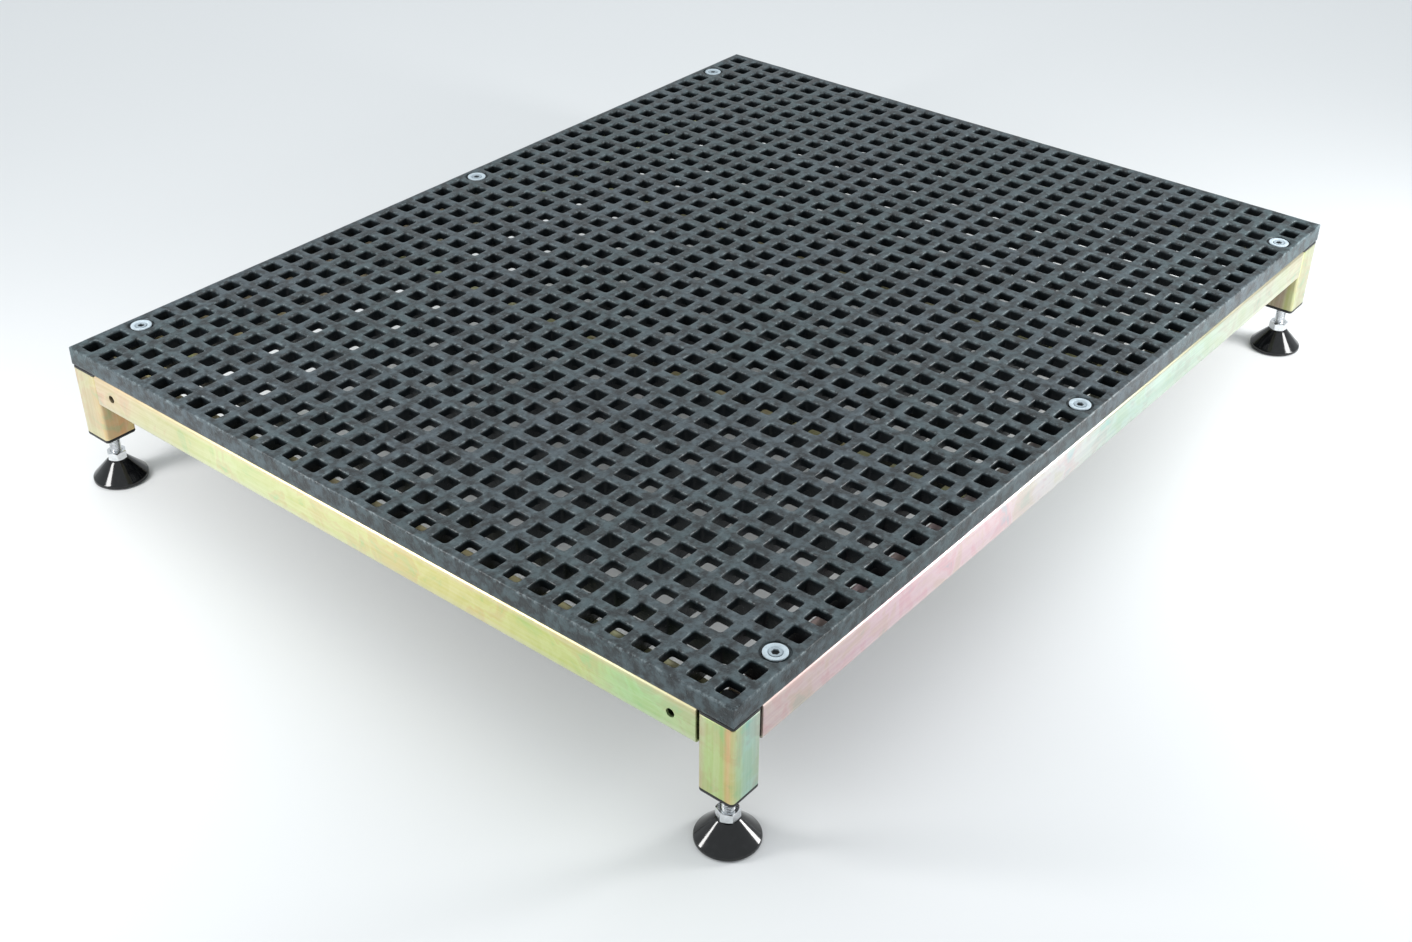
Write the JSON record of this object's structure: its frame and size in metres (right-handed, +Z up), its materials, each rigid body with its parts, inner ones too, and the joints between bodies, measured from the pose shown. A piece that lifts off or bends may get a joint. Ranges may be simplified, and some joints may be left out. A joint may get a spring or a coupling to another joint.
{
  "type": "work platform",
  "caption": "Low rectangular standing platform: a dark moulded grating with square openings on a yellow zinc square-tube frame, with short corner legs and screw feet that set its height.",
  "frame": {"origin": "on the floor under the middle of the platform", "axes": "+Z up, +X along the long side, +Y along the short side; front is -Y and left is -X"},
  "size_m": [0.78, 0.62, 0.112],
  "materials": {
    "grating_grey": "moulded glass-fibre plastic, matt, slightly worn on the rib tops",
    "zinc_yellow": "yellow passivated zinc plating with green, pink and blue tints",
    "zinc_bright": "bright zinc plating",
    "fastener_zinc": "satin zinc plating",
    "steel": "plain plated steel",
    "brass": "turned",
    "black_plastic": "satin moulded",
    "black_gloss": "glossy moulded",
    "rubber": "matt"
  },
  "bodies": {
    "platform": {"grating": "grating_grey", "front_rail": "zinc_yellow", "rear_rail": "zinc_yellow", "left_rail": "zinc_yellow", "right_rail": "zinc_yellow", "cross_member_left": "zinc_yellow", "cross_member_right": "zinc_yellow", "leg_front_left": "zinc_yellow", "leg_front_right": "zinc_yellow", "leg_rear_left": "zinc_yellow", "leg_rear_right": "zinc_yellow", "leg_cap_front_left": "black_plastic", "leg_cap_front_right": "black_plastic", "leg_cap_rear_left": "black_plastic", "leg_cap_rear_right": "black_plastic", "leg_insert_front_left": "black_plastic", "leg_insert_front_right": "black_plastic", "leg_insert_rear_left": "black_plastic", "leg_insert_rear_right": "black_plastic", "thread_bush_front_left": "brass", "thread_bush_front_right": "brass", "thread_bush_rear_left": "brass", "thread_bush_rear_right": "brass", "deck_washer_1": "fastener_zinc", "deck_washer_2": "fastener_zinc", "deck_washer_3": "fastener_zinc", "deck_washer_4": "fastener_zinc", "deck_washer_5": "fastener_zinc", "deck_washer_6": "fastener_zinc", "deck_screw_1": "fastener_zinc", "deck_screw_2": "fastener_zinc", "deck_screw_3": "fastener_zinc", "deck_screw_4": "fastener_zinc", "deck_screw_5": "fastener_zinc", "deck_screw_6": "fastener_zinc", "rivet_nut_1": "steel", "rivet_nut_2": "steel", "rivet_nut_3": "steel", "rivet_nut_4": "steel", "rivet_nut_5": "steel", "rivet_nut_6": "steel"},
    "foot_front_left": {"foot_pad_front_left": "black_gloss", "foot_sole_front_left": "rubber"},
    "stud_front_left": {"foot_stud_front_left": "zinc_bright", "foot_nut_front_left": "zinc_bright"},
    "foot_front_right": {"foot_pad_front_right": "black_gloss", "foot_sole_front_right": "rubber"},
    "stud_front_right": {"foot_stud_front_right": "zinc_bright", "foot_nut_front_right": "zinc_bright"},
    "foot_rear_left": {"foot_pad_rear_left": "black_gloss", "foot_sole_rear_left": "rubber"},
    "stud_rear_left": {"foot_stud_rear_left": "zinc_bright", "foot_nut_rear_left": "zinc_bright"},
    "foot_rear_right": {"foot_pad_rear_right": "black_gloss", "foot_sole_rear_right": "rubber"},
    "stud_rear_right": {"foot_stud_rear_right": "zinc_bright", "foot_nut_rear_right": "zinc_bright"}
  },
  "joints": [
    {"name": "front_left_foot_height", "type": "slide", "parent": "platform", "child": "foot_front_left", "axis": [0, 0, -1], "range_m": [-0.015, 0.01126]},
    {"name": "front_left_stud_turn", "type": "hinge", "parent": "foot_front_left", "child": "stud_front_left", "pos_m": [-0.37, -0.29, 0.0173], "axis": [0, 0, -1], "range_deg": [-4320, 3240]},
    {"name": "front_right_foot_height", "type": "slide", "parent": "platform", "child": "foot_front_right", "axis": [0, 0, -1], "range_m": [-0.015, 0.01126]},
    {"name": "front_right_stud_turn", "type": "hinge", "parent": "foot_front_right", "child": "stud_front_right", "pos_m": [0.37, -0.29, 0.0173], "axis": [0, 0, -1], "range_deg": [-4320, 3240]},
    {"name": "rear_left_foot_height", "type": "slide", "parent": "platform", "child": "foot_rear_left", "axis": [0, 0, -1], "range_m": [-0.015, 0.01126]},
    {"name": "rear_left_stud_turn", "type": "hinge", "parent": "foot_rear_left", "child": "stud_rear_left", "pos_m": [-0.37, 0.29, 0.0173], "axis": [0, 0, -1], "range_deg": [-4320, 3240]},
    {"name": "rear_right_foot_height", "type": "slide", "parent": "platform", "child": "foot_rear_right", "axis": [0, 0, -1], "range_m": [-0.015, 0.01126]},
    {"name": "rear_right_stud_turn", "type": "hinge", "parent": "foot_rear_right", "child": "stud_rear_right", "pos_m": [0.37, 0.29, 0.0173], "axis": [0, 0, -1], "range_deg": [-4320, 3240]}
  ],
  "couplings": [
    {"joint": "front_left_foot_height", "follows": "front_left_stud_turn", "m_per_rad": 0.00019894},
    {"joint": "front_right_foot_height", "follows": "front_right_stud_turn", "m_per_rad": 0.00019894},
    {"joint": "rear_left_foot_height", "follows": "rear_left_stud_turn", "m_per_rad": 0.00019894},
    {"joint": "rear_right_foot_height", "follows": "rear_right_stud_turn", "m_per_rad": 0.00019894}
  ]
}
